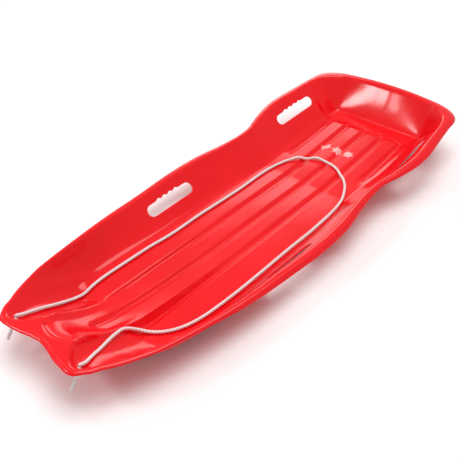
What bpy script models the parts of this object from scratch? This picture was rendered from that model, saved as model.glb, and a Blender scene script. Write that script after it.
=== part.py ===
"""Moulded snow sled with a tow rope.

One thin red shell: a long pan with raised floor panels, walls that lean out, a rolled rim
and four hand slots.  A white laid rope runs in a loop from one nose hole to the other and
is knotted below both.  Metres, +Z up, nose towards -Y, origin under the middle of the shell.
A "station" is a distance back from the foremost point of the nose.
"""
from math import cos, pi, sin

import bmesh
import bpy
from mathutils import Matrix, Vector

# ---------------------------------------------------------------- driving dimensions
LENGTH = 1.228            # overall, over the rolled rim
WALL = 0.003              # thickness of the moulding
NOSE_RIM_HEIGHT = 0.091   # rim top above the ground, at the nose
WAIST_RIM_HEIGHT = 0.0735  # the same where the rim is lowest
TAIL_RIM_HEIGHT = 0.119   # the same at the tail
PAN_WIDTH = 0.418         # inside the rim, at the widest place
FLOOR_WIDTH = 0.262       # between the feet of the side walls
RIM_REACH = 0.020         # how far the rolled rim stands out from the pan's edge
RIM_DROP = 0.009          # how far it turns down
PANEL_RISE = 0.007        # raised floor panels above the grooves between them
GROOVE_PITCH = 0.0535     # from groove to groove across the floor
GROOVE_FLAT = 0.008       # flat bottom of a groove
GROOVE_SLOPE = 0.0065     # width of its sloping side
SEAT_RISE = 0.023         # floor of the seat above the floor of the pan
HORN_SPREAD = 0.176       # between the two nose horns, and between the rope holes
ROPE_DIAMETER = 0.007
ROPE_HOLE_DIAMETER = 0.010
ROPE_HOLE_STATION = 0.028
KNOT_DIAMETER = 0.016
ROPE_TAIL_LENGTH = 0.022
SLOT_LENGTH = 0.146
SLOT_WIDTH = 0.028
SLOTS = (("front", 0.504, 0.50), ("rear", 1.000, 0.56))   # name, station, share up the wall
FINGER_PITCH = 0.019      # scallops along a slot's upper edge
FINGER_DEPTH = 0.0035
FINGER_COUNT = 4
TOUCH_GAP = 0.0003        # between pieces that touch

NOSE_Y = -LENGTH / 2
ROPE_RADIUS = ROPE_DIAMETER / 2
SIDES = (("left", -1), ("right", 1))

# ---------------------------------------------------------------- scene set-up
for old in list(bpy.data.objects):
    bpy.data.objects.remove(old, do_unlink=True)


def new_collection(name):
    """Return a fresh collection linked into the scene."""
    group = bpy.data.collections.new(name)
    bpy.context.scene.collection.children.link(group)
    return group


PARTS = new_collection("snow_sled")
CUTTERS = new_collection("cutters")


def make_material(name, color, roughness):
    """Return a Principled material of one colour."""
    material = bpy.data.materials.new(name)
    material.use_nodes = True
    shader = material.node_tree.nodes["Principled BSDF"]
    shader.inputs["Base Color"].default_value = (*color, 1.0)
    shader.inputs["Roughness"].default_value = roughness
    shader.inputs["Metallic"].default_value = 0.0
    return material


RED_PLASTIC = make_material("red_plastic", (0.80, 0.012, 0.015), 0.22)
WHITE_ROPE = make_material("white_rope", (0.86, 0.84, 0.82), 0.75)


def add_object(name, mesh, material, group=PARTS):
    """Put a mesh in the scene under a name, with a material."""
    item = bpy.data.objects.new(name, mesh)
    group.objects.link(item)
    if material:
        mesh.materials.append(material)
    return item


# ---------------------------------------------------------------- smooth curves
def fade(value, start, end):
    """Rise smoothly from 0 at start to 1 at end."""
    share = min(1.0, max(0.0, (value - start) / (end - start)))
    return share * share * (3.0 - 2.0 * share)


def profile(points, place):
    """Read a smooth curve through (place, value) points, flat past both ends."""
    if place <= points[0][0]:
        return points[0][1]
    if place >= points[-1][0]:
        return points[-1][1]
    index = max(i for i in range(len(points) - 1) if points[i][0] <= place)
    (x0, y0), (x1, y1) = points[index], points[index + 1]
    before = points[max(index - 1, 0)]
    after = points[min(index + 2, len(points) - 1)]
    slope0 = (y1 - before[1]) / (x1 - before[0])
    slope1 = (after[1] - y0) / (after[0] - x0)
    h = x1 - x0
    s = (place - x0) / h
    return ((1 + 2 * s) * (1 - s) ** 2 * y0 + s * (1 - s) ** 2 * h * slope0
            + s * s * (3 - 2 * s) * y1 + s * s * (s - 1) * h * slope1)


def smooth_path(points, spacing):
    """Return points about spacing apart along a Catmull-Rom curve through the given ones."""
    ends = [points[0] * 2 - points[1]] + list(points) + [points[-1] * 2 - points[-2]]
    fine = []
    for i in range(1, len(ends) - 2):
        p0, p1, p2, p3 = ends[i - 1:i + 3]
        for step in range(24):
            t = step / 24
            fine.append(0.5 * (2 * p1 + (p2 - p0) * t + (2 * p0 - 5 * p1 + 4 * p2 - p3) * t * t
                               + (3 * p1 - p0 - 3 * p2 + p3) * t * t * t))
    fine.append(points[-1].copy())
    total = sum((b - a).length for a, b in zip(fine, fine[1:]))
    count = max(2, round(total / spacing))
    even, walked, target = [fine[0]], 0.0, total / count
    for a, b in zip(fine, fine[1:]):
        piece = (b - a).length
        while walked + piece >= target and len(even) < count:
            even.append(a.lerp(b, (target - walked) / piece))
            target += total / count
        walked += piece
    even.append(fine[-1])
    return even


# ---------------------------------------------------------------- plan of the pan
# The pan's edge, drawn at the base length and width: the nose and tail edges are
# (distance from the middle, station), the side edge is (station, half width).
BASE_LENGTH = 1.228
BASE_PAN_WIDTH = 0.418
BASE_FLOOR_WIDTH = 0.262
NOSE_EDGE = [(0.0, 0.0235), (0.025, 0.0192), (0.05, 0.0125), (0.075, 0.0091), (0.088, 0.008),
             (0.098, 0.0115), (0.1055, 0.021)]
SIDE_EDGE = [(0.021, 0.1055), (0.030, 0.1125), (0.046, 0.1195), (0.060, 0.1275),
             (0.078, 0.1365), (0.110, 0.1495), (0.142, 0.1605), (0.220, 0.1755),
             (0.330, 0.188), (0.440, 0.194), (0.550, 0.2015), (0.640, 0.2005),
             (0.720, 0.191), (0.775, 0.187), (0.825, 0.189), (0.880, 0.201),
             (0.950, 0.209), (1.030, 0.2025), (1.095, 0.1965), (1.130, 0.189),
             (1.150, 0.179), (1.160, 0.170)]
TAIL_EDGE = [(0.0, 1.200), (0.050, 1.198), (0.095, 1.192), (0.130, 1.183), (0.154, 1.172),
             (0.170, 1.160)]
LENGTH_SCALE = LENGTH / BASE_LENGTH
WIDTH_SCALE = PAN_WIDTH / BASE_PAN_WIDTH
FLOOR_SCALE = FLOOR_WIDTH / BASE_FLOOR_WIDTH / WIDTH_SCALE
LANE_PITCH = GROOVE_PITCH / WIDTH_SCALE
HORN_X = HORN_SPREAD / 2 / WIDTH_SCALE
FRONT_CORNER = SIDE_EDGE[0][0]
REAR_CORNER = SIDE_EDGE[-1][0]


def edge_half_width(station):
    """Half width of the pan's edge at a station along its side."""
    return profile(SIDE_EDGE, station)


def nose_edge(x):
    """Station of the pan's front edge at a distance from the middle."""
    return profile(NOSE_EDGE, abs(x))


def tail_edge(x):
    """Station of the pan's rear edge at a distance from the middle."""
    return profile(TAIL_EDGE, abs(x))


# ---------------------------------------------------------------- heights of the upper face
RIM_LINE = [(0.02, NOSE_RIM_HEIGHT), (0.20, WAIST_RIM_HEIGHT + 0.0055),
            (0.40, WAIST_RIM_HEIGHT), (0.60, WAIST_RIM_HEIGHT + 0.002),
            (0.80, WAIST_RIM_HEIGHT + 0.009), (0.95, TAIL_RIM_HEIGHT - 0.0195),
            (1.15, TAIL_RIM_HEIGHT - 0.001), (1.20, TAIL_RIM_HEIGHT)]
# Share of the nose height that is left, along the horn pockets and along the middle ramp.
POCKET_FALL = [(0.012, 1.0), (0.0145, 0.985), (0.019, 0.925), (0.0235, 0.875), (0.028, 0.840),
               (0.040, 0.775), (0.062, 0.685), (0.092, 0.530), (0.120, 0.365), (0.140, 0.255),
               (0.156, 0.165), (0.175, 0.075), (0.195, 0.015), (0.210, 0.0)]
RAMP_FALL = [(0.033, 1.0), (0.0355, 0.980), (0.041, 0.920), (0.045, 0.902), (0.054, 0.885),
             (0.064, 0.850), (0.098, 0.59),
             (0.123, 0.43), (0.142, 0.345), (0.170, 0.255), (0.200, 0.195), (0.240, 0.14),
             (0.290, 0.085), (0.343, 0.045), (0.400, 0.015), (0.450, 0.0)]
FLOOR_FOOT = [(0.02, 0.090), (0.04, 0.097), (0.080, 0.108), (0.110, 0.115), (0.210, 0.127), (0.340, 0.131),
              (0.650, 0.131), (0.730, 0.127), (0.830, 0.122), (0.950, 0.130), (1.040, 0.130),
              (1.110, 0.126)]
WALL_CURVE = [(0.05, 1.9), (0.20, 2.1), (0.40, 1.35), (0.55, 1.2)]   # 1 is a flat wall
TAIL_WALL_CURVE = 1.25
TAIL_FOOT = 1.143         # station where the rear wall meets the seat floor
SEAT_LINE = [(0.80, 0.0), (0.95, 0.47), (1.08, 1.0), (1.16, 1.25)]
SEAT_GROOVES = (0.87, 0.92)
PANEL_END = (1.078, 1.100)
MIDDLE_GROOVE_START = (0.118, 0.135)
OUTER_PANEL_START = (0.175, 0.215)
RIDGE_RISE = 0.004        # of the two ridges beside the middle ramp
RIDGE_SPAN = (0.026, 0.040)
RIDGE_FADE = (0.12, 0.22)


def rim_height(station):
    """Height of the rim's top."""
    return profile(RIM_LINE, station)


def groove_floor(station):
    """Height of the groove bottoms: level under the pan, and rising into the seat."""
    return WALL + SEAT_RISE * profile(SEAT_LINE, station)


def panel_share(x, station):
    """1 on a raised panel, 0 in a groove, smooth on the slopes between them."""
    depth = 0.0
    flat = GROOVE_FLAT / 2
    for lane in range(-2, 3):
        near = 1.0 - fade(abs(x - lane * LANE_PITCH), flat, flat + GROOVE_SLOPE)
        if abs(lane) == 2:
            near *= fade(station, *SEAT_GROOVES)
        if lane == 0:
            near *= fade(station, *MIDDLE_GROOVE_START)
        depth = max(depth, near)
    return 1.0 - depth


# The pocket walls and the ramp's foot bow back away from their own middle lines.
POCKET_BOW = 0.030
POCKET_BOW_REACH = 0.038
POCKET_BOW_LIMIT = 0.045
RAMP_BOW = 0.0145
RAMP_BOW_REACH = 0.040


def floor_height(x, station):
    """Height of the floor, the middle ramp and the horn pockets, without the walls."""
    side = abs(x)
    bottom = groove_floor(station)
    full = rim_height(station)
    pocket_bow = min(POCKET_BOW_LIMIT, POCKET_BOW * ((side - HORN_X) / POCKET_BOW_REACH) ** 2)
    pocket = bottom + (full - bottom) * profile(POCKET_FALL, station - pocket_bow)
    ramp_bow = RAMP_BOW * (side / RAMP_BOW_REACH) ** 2
    panel_top = bottom + PANEL_RISE
    ramp = panel_top + (full - panel_top) * profile(RAMP_FALL, station - ramp_bow)
    ramp += RIDGE_RISE * fade(side, *RIDGE_SPAN) * (1.0 - fade(station, *RIDGE_FADE))
    share = panel_share(x, station)
    rear = 1.0 - fade(station, *PANEL_END)
    if side < LANE_PITCH / 2:
        return ramp - PANEL_RISE * (1.0 - share * rear)
    if side < LANE_PITCH:
        return pocket + (ramp - pocket) * share * rear
    return pocket + PANEL_RISE * fade(station, *OUTER_PANEL_START) * rear * share


def wall_rise(x, station):
    """0 on the floor and 1 at the pan's edge, rising up the side and rear walls."""
    edge = edge_half_width(max(FRONT_CORNER, min(REAR_CORNER, station)))
    foot = profile(FLOOR_FOOT, station) * FLOOR_SCALE
    up_side = max(0.0, min(1.0, (abs(x) - foot) / (edge - foot)))
    up_rear = max(0.0, min(1.0, (station - TAIL_FOOT) / (tail_edge(x) - TAIL_FOOT)))
    side_rise = up_side ** profile(WALL_CURVE, station)
    rear_rise = up_rear ** TAIL_WALL_CURVE
    return 1.0 - (1.0 - side_rise) * (1.0 - rear_rise)


def upper_face(x, station):
    """Height of the moulding's upper face anywhere inside the pan's edge."""
    top = rim_height(station)
    floor = min(floor_height(x, station), top)
    return floor + (top - floor) * wall_rise(x, station)


# ---------------------------------------------------------------- the shell
WALL_LINES = 4
ROW_BEND_FLOOR = 0.160     # how far rows follow the nose's and tail's curve, on the floor
ROW_BEND_EDGE = 0.014      # and at the pan's edge
STEEPEST_LEAN = 0.85      # limits how far a crease's underside moves out
FOOT_MARGIN = 0.004       # from the outermost floor line to the foot of the wall
NOSE_STEP = 0.008
MIDDLE_STEP = 0.043
TAIL_STEP = 0.013
NOSE_END = 0.240
TAIL_BEGIN = 1.050
FULL_LANES_WIDTH = 0.150   # pan half width from which the floor lines keep their places
RIM_PROFILE = [(0.22, 0.05), (0.50, 0.0), (0.78, -0.32), (1.0, -1.0)]
# How wide the rim is, as a share of its full reach: narrow at the nose and the waist.
RIM_SHARE = [(0.02, 0.40), (0.20, 0.42), (0.33, 0.78), (0.45, 1.0), (0.64, 1.0), (0.75, 0.78),
             (0.83, 0.66), (0.92, 0.98), (1.00, 1.18), (1.11, 1.10), (1.155, 1.75), (1.175, 1.72),
             (1.192, 1.40), (1.20, 1.40)]


def lane_lines():
    """Places across half of the floor where the mesh has a line."""
    lines = []
    for lane in range(3):
        middle = lane * LANE_PITCH
        flat = GROOVE_FLAT / 2
        for offset in (-flat - GROOVE_SLOPE, -flat, flat, flat + GROOVE_SLOPE):
            if middle + offset > 0.0:
                lines.append(middle + offset)
    lines.append(LANE_PITCH / 2)
    lines.append(LANE_PITCH * 1.5)
    return sorted(lines)


def row_stations():
    """Stations of the mesh rows at the pan's edge, close together at both ends."""
    bounds = [(FRONT_CORNER, NOSE_END, NOSE_STEP), (NOSE_END, TAIL_BEGIN, MIDDLE_STEP),
              (TAIL_BEGIN, REAR_CORNER, TAIL_STEP)]
    rows = [FRONT_CORNER]
    for start, end, step in bounds:
        count = round((end - start) / step)
        rows += [start + (end - start) * (i + 1) / count for i in range(count)]
    return rows


def row_places(station):
    """Distances from the middle of a row's points, from one edge of the pan to the other."""
    edge = edge_half_width(station)
    squeeze = min(1.0, edge / FULL_LANES_WIDTH)
    half = [line * squeeze for line in lane_lines()]
    foot = max(half[-1] + FOOT_MARGIN, profile(FLOOR_FOOT, station) * FLOOR_SCALE)
    half += [foot + (edge - foot) * i / WALL_LINES for i in range(WALL_LINES + 1)]
    return [-place for place in reversed(half)] + [0.0] + half


def place(x, station, height):
    """Turn a drawn distance from the middle and a drawn station into a point."""
    return Vector((x * WIDTH_SCALE, NOSE_Y + station * LENGTH_SCALE, height))


def rim_share(point):
    """Share of the rim's full reach beside a point of the pan's edge."""
    return profile(RIM_SHARE, (point.y - NOSE_Y) / LENGTH_SCALE)


def row_bend(distance, row, column):
    """How far a row at a distance from an end still follows the end's curve."""
    edge = abs(row[0])
    foot = abs(row[WALL_LINES])
    up_wall = max(0.0, min(1.0, (abs(row[column]) - foot) / (edge - foot)))
    reach = ROW_BEND_FLOOR + (ROW_BEND_EDGE - ROW_BEND_FLOOR) * up_wall ** 0.5
    return max(0.0, 1.0 - distance / reach) ** 2


def shell_mesh():
    """Make the upper face as one open sheet, with its rolled rim."""
    stations = row_stations()
    first = row_places(stations[0])
    last = row_places(stations[-1])
    columns = len(first)
    bm = bmesh.new()
    bmesh.ops.create_grid(bm, x_segments=columns - 1, y_segments=len(stations) - 1, size=1.0)
    bm.verts.ensure_lookup_table()
    for row, edge_station in enumerate(stations):
        places = row_places(edge_station)
        for column, x in enumerate(places):
            near_nose = row_bend(edge_station - FRONT_CORNER, first, column)
            near_tail = row_bend(REAR_CORNER - edge_station, last, column)
            station = edge_station
            station += (nose_edge(first[column]) - FRONT_CORNER) * near_nose
            station += (tail_edge(last[column]) - REAR_CORNER) * near_tail
            bm.verts[row * columns + column].co = place(x, station, upper_face(x, station))
    rim_loop = [edge for edge in bm.edges if edge.is_boundary]
    add_rim(bm, rim_loop)
    bmesh.ops.recalc_face_normals(bm, faces=bm.faces[:])
    if sum(face.normal.z for face in bm.faces) < 0.0:
        bmesh.ops.reverse_faces(bm, faces=bm.faces[:])
    thicken(bm)
    mesh = bpy.data.meshes.new("sled_shell")
    bm.to_mesh(mesh)
    bm.free()
    return mesh


def add_rim(bm, rim_loop):
    """Roll the sheet's free edge outwards and down, ring by ring."""
    origin, outward = {}, {}
    for edge in rim_loop:
        for vert in edge.verts:
            origin[vert] = vert.co.copy()
            outward.setdefault(vert, Vector((0.0, 0.0, 0.0)))
        along = (edge.verts[1].co - edge.verts[0].co).xy
        normal = Vector((along.y, -along.x, 0.0)).normalized()
        middle = (edge.verts[0].co + edge.verts[1].co) / 2
        if normal.dot(middle) < 0.0:
            normal.negate()
        for vert in edge.verts:
            outward[vert] += normal
    edges = list(rim_loop)
    lower = {vert: vert for vert in origin}
    for out_share, height_share in RIM_PROFILE:
        result = bmesh.ops.extrude_edge_only(bm, edges=edges)
        edges = [item for item in result["geom"] if isinstance(item, bmesh.types.BMEdge)]
        fresh = {item for item in result["geom"] if isinstance(item, bmesh.types.BMVert)}
        following = {}
        for base, current in lower.items():
            vert = next(edge.other_vert(current) for edge in current.link_edges
                        if edge.other_vert(current) in fresh)
            direction = outward[base].normalized()
            wide = rim_share(origin[base])
            vert.co = origin[base] + direction * (RIM_REACH * wide * out_share)
            vert.co.z += RIM_DROP * min(1.0, wide) * height_share
            following[base] = vert
        edges = [edge for edge in edges if all(vert in fresh for vert in edge.verts)]
        lower = following


def thicken(bm):
    """Add the underside, one wall thickness below the sheet, and close its edge."""
    sheet = bm.faces[:]
    free_edges = [edge for edge in bm.edges if edge.is_boundary]
    under = {}
    for vert in bm.verts[:]:
        lean = min(vert.normal.dot(face.normal) for face in vert.link_faces)
        depth = WALL / max(STEEPEST_LEAN, lean)
        under[vert] = bm.verts.new(vert.co - vert.normal * depth)
    for face in sheet:
        bm.faces.new([under[vert] for vert in reversed(face.verts)])
    for edge in free_edges:
        start, end = edge.verts
        bm.faces.new((start, end, under[end], under[start]))
    bmesh.ops.recalc_face_normals(bm, faces=bm.faces[:])
    for face in bm.faces:
        face.smooth = True


def cut(item, cutter):
    """Cut one object out of another."""
    cutter.hide_render = True
    cutter.display_type = "WIRE"
    modifier = item.modifiers.new(cutter.name, "BOOLEAN")
    modifier.operation = "DIFFERENCE"
    modifier.solver = "EXACT"
    modifier.object = cutter


def prism(name, outline, height):
    """Make a closed cutter: a flat outline, pushed out both ways."""
    bm = bmesh.new()
    verts = [bm.verts.new((x, y, -height / 2)) for x, y in outline]
    bottom = bm.faces.new(verts)
    result = bmesh.ops.extrude_face_region(bm, geom=[bottom])
    top = [item for item in result["geom"] if isinstance(item, bmesh.types.BMVert)]
    bmesh.ops.translate(bm, verts=top, vec=(0.0, 0.0, height))
    bmesh.ops.recalc_face_normals(bm, faces=bm.faces[:])
    mesh = bpy.data.meshes.new(name)
    bm.to_mesh(mesh)
    bm.free()
    return add_object(name, mesh, None, CUTTERS)


def slot_outline():
    """Outline of a hand slot: round ends, and finger scallops along its upper edge."""
    radius = SLOT_WIDTH / 2
    reach = SLOT_LENGTH / 2 - radius
    points = []
    for step in range(9):
        angle = -pi / 2 + pi * step / 8
        points.append((reach + radius * cos(angle), radius * sin(angle)))
    first_cusp = FINGER_COUNT * FINGER_PITCH / 2
    for finger in range(FINGER_COUNT):
        right = first_cusp - finger * FINGER_PITCH
        for step in range(0 if finger == 0 else 1, 6):
            share = step / 5
            rise = FINGER_DEPTH * sin(pi * share)
            points.append((right - FINGER_PITCH * share, radius + rise))
    for step in range(9):
        angle = pi / 2 + pi * step / 8
        points.append((-reach + radius * cos(angle), radius * sin(angle)))
    return points


def wall_place(station, share):
    """Point part of the way up the right-hand wall, on its upper face."""
    edge = edge_half_width(station)
    foot = profile(FLOOR_FOOT, station) * FLOOR_SCALE
    top = rim_height(station)
    floor = floor_height(foot, station)
    x = foot + (edge - foot) * share ** (1.0 / profile(WALL_CURVE, station))
    return place(x, station, floor + (top - floor) * share)


SLOT_FEEL_ALONG = 0.4     # of a slot's length, each way, where the wall's slope is felt
SLOT_FEEL_UP = 0.15       # of the wall's height, each way
SLOT_CUTTER_DEPTH = 0.06


def add_slot(shell, name, station, share, side):
    """Cut one hand slot through a side wall, square to the wall."""
    reach = SLOT_LENGTH / LENGTH_SCALE * SLOT_FEEL_ALONG
    forward = (wall_place(station + reach, share) - wall_place(station - reach, share))
    upward = (wall_place(station, share + SLOT_FEEL_UP)
              - wall_place(station, share - SLOT_FEEL_UP))
    forward.normalize()
    out = forward.cross(upward).normalized()
    up = out.cross(forward)
    mirror = Vector((side, 1.0, 1.0))
    forward, up = forward * mirror, up * mirror
    turn = Matrix((forward, up, forward.cross(up))).transposed().to_4x4()
    cutter = prism(name, slot_outline(), SLOT_CUTTER_DEPTH)
    cutter.matrix_world = Matrix.Translation(wall_place(station, share) * mirror) @ turn
    cut(shell, cutter)


HOLE_FEEL = 0.003         # along the pan, each way, where the wall's slope is felt


def hole_frame(side):
    """Return the middle of a rope hole on the upper face, and its axis up out of the wall."""
    x = HORN_X * side
    back = place(x, ROPE_HOLE_STATION + HOLE_FEEL, upper_face(x, ROPE_HOLE_STATION + HOLE_FEEL))
    front = place(x, ROPE_HOLE_STATION - HOLE_FEEL, upper_face(x, ROPE_HOLE_STATION - HOLE_FEEL))
    axis = Vector((side, 0.0, 0.0)).cross(front - back)
    if axis.z < 0.0:
        axis.negate()
    return (front + back) / 2, axis.normalized()


def cylinder_between(name, start, end, diameter, sides=20):
    """Make a round rod from one point to another."""
    bm = bmesh.new()
    bmesh.ops.create_cone(bm, cap_ends=True, segments=sides, radius1=diameter / 2,
                          radius2=diameter / 2, depth=(end - start).length)
    turn = Vector((0.0, 0.0, 1.0)).rotation_difference(end - start).to_matrix().to_4x4()
    bmesh.ops.transform(bm, verts=bm.verts[:],
                        matrix=Matrix.Translation((start + end) / 2) @ turn)
    mesh = bpy.data.meshes.new(name)
    bm.to_mesh(mesh)
    bm.free()
    return mesh


HOLE_CUTTER_REACH = 0.012


def add_rope_hole(shell, name, side):
    """Drill one rope hole through the front wall of a horn pocket."""
    centre, axis = hole_frame(side)
    mesh = cylinder_between(name, centre - axis * HOLE_CUTTER_REACH,
                            centre + axis * HOLE_CUTTER_REACH, ROPE_HOLE_DIAMETER)
    cut(shell, add_object(name, mesh, None, CUTTERS))


def build_shell():
    """Make the moulded shell, give it its wall and cut its openings."""
    shell = add_object("sled_shell", shell_mesh(), RED_PLASTIC)
    for place_name, station, share in SLOTS:
        for side_name, side in SIDES:
            add_slot(shell, f"slot_{place_name}_{side_name}", station, share, side)
    for side_name, side in SIDES:
        add_rope_hole(shell, f"rope_hole_{side_name}", side)


# ---------------------------------------------------------------- the tow rope
# Places along each rope hole's axis, measured from the upper face.
PIVOT_LIFT = 0.0043       # where the loop turns about the two holes
END_TOP = PIVOT_LIFT - ROPE_RADIUS - TOUCH_GAP
END_BELOW_WALL = 0.0015
END_BOTTOM = -WALL - END_BELOW_WALL
TAIL_GAP = 0.0006         # more room between a knot and its tail
TAIL_SLANT = (0.0, -0.62, -0.78)
REST_GAP = 0.0006         # under a rope that lies on the moulding
# Where the rope lies, from the left hole back along the left wall, round the seat and
# forward again to the right hole: (distance from the middle, station, lift off the floor).
ROPE_ROUTE = [(-0.0888, 0.043, 0.0), (-0.0902, 0.062, 0.0), (-0.0922, 0.085, 0.0),
              (-0.0944, 0.110, 0.0), (-0.0966, 0.134, 0.0), (-0.0985, 0.153, 0.0),
              (-0.1010, 0.173, 0.0), (-0.1045, 0.200, 0.0), (-0.1080, 0.228, 0.0),
              (-0.1095, 0.262, 0.0), (-0.1087, 0.317, 0.0), (-0.1075, 0.375, 0.0),
              (-0.1035, 0.420, 0.0), (-0.1025, 0.464, 0.0), (-0.1035, 0.532, 0.0),
              (-0.1015, 0.601, 0.0), (-0.1003, 0.674, 0.0), (-0.1018, 0.740, 0.0),
              (-0.1010, 0.790, 0.0), (-0.0940, 0.826, 0.0), (-0.0835, 0.854, 0.0),
              (-0.0670, 0.875, 0.0), (-0.0460, 0.890, 0.0), (-0.0220, 0.901, 0.0),
              (0.0120, 0.900, 0.0), (0.0520, 0.881, 0.0), (0.0860, 0.850, 0.0),
              (0.1040, 0.821, 0.0), (0.1180, 0.783, 0.0), (0.1255, 0.727, 0.0),
              (0.1290, 0.641, 0.0), (0.1280, 0.567, 0.0), (0.1290, 0.461, 0.0),
              (0.1290, 0.394, 0.0), (0.1270, 0.336, 0.0), (0.1220, 0.283, 0.0),
              (0.1100, 0.241, 0.0), (0.0910, 0.212, 0.0), (0.0740, 0.198, 0.001),
              (0.0610, 0.186, 0.003), (0.0520, 0.169, 0.005), (0.0515, 0.147, 0.005),
              (0.0575, 0.121, 0.003), (0.0675, 0.090, 0.0), (0.0785, 0.060, 0.0),
              (0.0855, 0.043, 0.0)]
ROPE_POINT_SPACING = 0.024
ROPE_LOOKS = 6            # places where the floor is felt between two points of the rope
ROPE_ROUNDS = 2
FEEL_SPOKES = 8
FEEL_RINGS = 2


def resting_height(x, station):
    """Height of the rope's middle where it lies on the moulding's upper face."""
    reach = ROPE_RADIUS + REST_GAP
    best = upper_face(x, station) + reach
    for ring in range(1, FEEL_RINGS + 1):
        out = reach * ring / FEEL_RINGS
        drop = (max(0.0, reach * reach - out * out)) ** 0.5
        for spoke in range(FEEL_SPOKES):
            angle = 2 * pi * spoke / FEEL_SPOKES
            height = upper_face(x + out * cos(angle), station + out * sin(angle))
            best = max(best, height + drop)
    return best


def loop_points():
    """Middle line of the loop, from above the left hole to above the right one."""
    route = [Vector(point) for point in ROPE_ROUTE]
    plan = smooth_path(route, ROPE_POINT_SPACING)
    heights = [resting_height(point.x, point.y) + point.z for point in plan]
    for _ in range(ROPE_ROUNDS):
        for index in range(len(plan) - 1):
            for look in range(1, ROPE_LOOKS):
                share = look / ROPE_LOOKS
                spot = plan[index].lerp(plan[index + 1], share)
                level = heights[index] + (heights[index + 1] - heights[index]) * share
                short = max(0.0, resting_height(spot.x, spot.y) + spot.z - level)
                heights[index] += short
                heights[index + 1] += short
    middle = [place(point.x, point.y, height) for point, height in zip(plan, heights)]
    return [pivot(-1)] + middle + [pivot(1)]


def pivot(side):
    """Point above a rope hole that the loop turns about."""
    centre, axis = hole_frame(side)
    return centre + axis * PIVOT_LIFT


def build_loop():
    """Lay the rope loop from one hole to the other as a round tube."""
    curve = bpy.data.curves.new("tow_rope", "CURVE")
    curve.dimensions = "3D"
    curve.bevel_depth = ROPE_RADIUS
    curve.bevel_resolution = 2
    curve.use_fill_caps = True
    points = loop_points()
    spline = curve.splines.new("POLY")
    spline.points.add(len(points) - 1)
    for spot, point in zip(spline.points, points):
        spot.co = (*point, 1.0)
    add_object("tow_rope", curve, WHITE_ROPE)


def build_rope_end(side_name, side):
    """Make a rope end: through its hole, the knot under the wall and the loose tail."""
    centre, axis = hole_frame(side)
    mesh = cylinder_between("rope_end", centre + axis * END_TOP, centre + axis * END_BOTTOM,
                            ROPE_DIAMETER, 12)
    add_object(f"rope_end_{side_name}", mesh, WHITE_ROPE)
    knot_radius = KNOT_DIAMETER / 2
    knot_centre = centre + axis * (END_BOTTOM - TOUCH_GAP - knot_radius)
    bm = bmesh.new()
    bmesh.ops.create_uvsphere(bm, u_segments=14, v_segments=8, radius=knot_radius,
                              matrix=Matrix.Translation(knot_centre))
    knot = bpy.data.meshes.new("rope_knot")
    bm.to_mesh(knot)
    bm.free()
    add_object(f"rope_knot_{side_name}", knot, WHITE_ROPE)
    slant = Vector(TAIL_SLANT).normalized()
    start = knot_centre + slant * (knot_radius + TOUCH_GAP + TAIL_GAP)
    tail = cylinder_between("rope_tail", start, start + slant * ROPE_TAIL_LENGTH,
                            ROPE_DIAMETER, 12)
    add_object(f"rope_tail_{side_name}", tail, WHITE_ROPE)


build_shell()
build_loop()
for end_name, end_side in SIDES:
    build_rope_end(end_name, end_side)
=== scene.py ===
# %% [markdown]
# # A red moulded snow sled with a white tow rope
# The sled is one thin plastic moulding: a long pan with raised floor panels, walls that
# lean out, a rolled rim and four hand slots. The rope lies in a loose loop in the pan.
# Its two ends go down through holes in the nose horns and are knotted below them.
# Sizes are metres, +Z is up and the nose points towards -Y.

# %% Load the frame
from math import cos, pi, radians, sin

import bmesh
import bpy
from mathutils import Matrix, Vector


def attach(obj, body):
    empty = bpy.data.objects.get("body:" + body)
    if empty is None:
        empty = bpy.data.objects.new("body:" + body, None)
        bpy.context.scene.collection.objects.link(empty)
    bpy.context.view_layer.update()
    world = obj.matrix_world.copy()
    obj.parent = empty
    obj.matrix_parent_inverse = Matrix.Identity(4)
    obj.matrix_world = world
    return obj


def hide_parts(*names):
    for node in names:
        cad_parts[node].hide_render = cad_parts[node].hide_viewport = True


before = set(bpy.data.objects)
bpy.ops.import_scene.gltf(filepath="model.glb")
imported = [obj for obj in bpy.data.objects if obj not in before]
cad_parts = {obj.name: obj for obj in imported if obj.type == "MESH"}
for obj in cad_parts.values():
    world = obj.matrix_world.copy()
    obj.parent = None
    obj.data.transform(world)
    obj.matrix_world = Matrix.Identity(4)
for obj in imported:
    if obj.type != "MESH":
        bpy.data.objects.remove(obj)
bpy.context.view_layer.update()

# %% [markdown]
# ## Sizes
# The same sizes as in the part's source, repeated here.

# %% Sizes
LENGTH = 1.228            # overall, over the rolled rim
WALL = 0.003              # thickness of the moulding
NOSE_RIM_HEIGHT = 0.091   # rim top above the ground, at the nose
WAIST_RIM_HEIGHT = 0.0735  # the same where the rim is lowest
TAIL_RIM_HEIGHT = 0.119   # the same at the tail
PAN_WIDTH = 0.418         # inside the rim, at the widest place
FLOOR_WIDTH = 0.262       # between the feet of the side walls
RIM_REACH = 0.020         # how far the rolled rim stands out from the pan's edge
RIM_DROP = 0.009          # how far it turns down
PANEL_RISE = 0.007        # raised floor panels above the grooves between them
GROOVE_PITCH = 0.0535     # from groove to groove across the floor
GROOVE_FLAT = 0.008       # flat bottom of a groove
GROOVE_SLOPE = 0.0065     # width of its sloping side
SEAT_RISE = 0.023         # floor of the seat above the floor of the pan
HORN_SPREAD = 0.176       # between the two nose horns, and between the rope holes
ROPE_DIAMETER = 0.007
ROPE_HOLE_DIAMETER = 0.010
ROPE_HOLE_STATION = 0.028
KNOT_DIAMETER = 0.016
ROPE_TAIL_LENGTH = 0.022
SLOT_LENGTH = 0.146
SLOT_WIDTH = 0.028
SLOTS = (("front", 0.504, 0.50), ("rear", 1.000, 0.56))   # name, station, share up the wall
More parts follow.
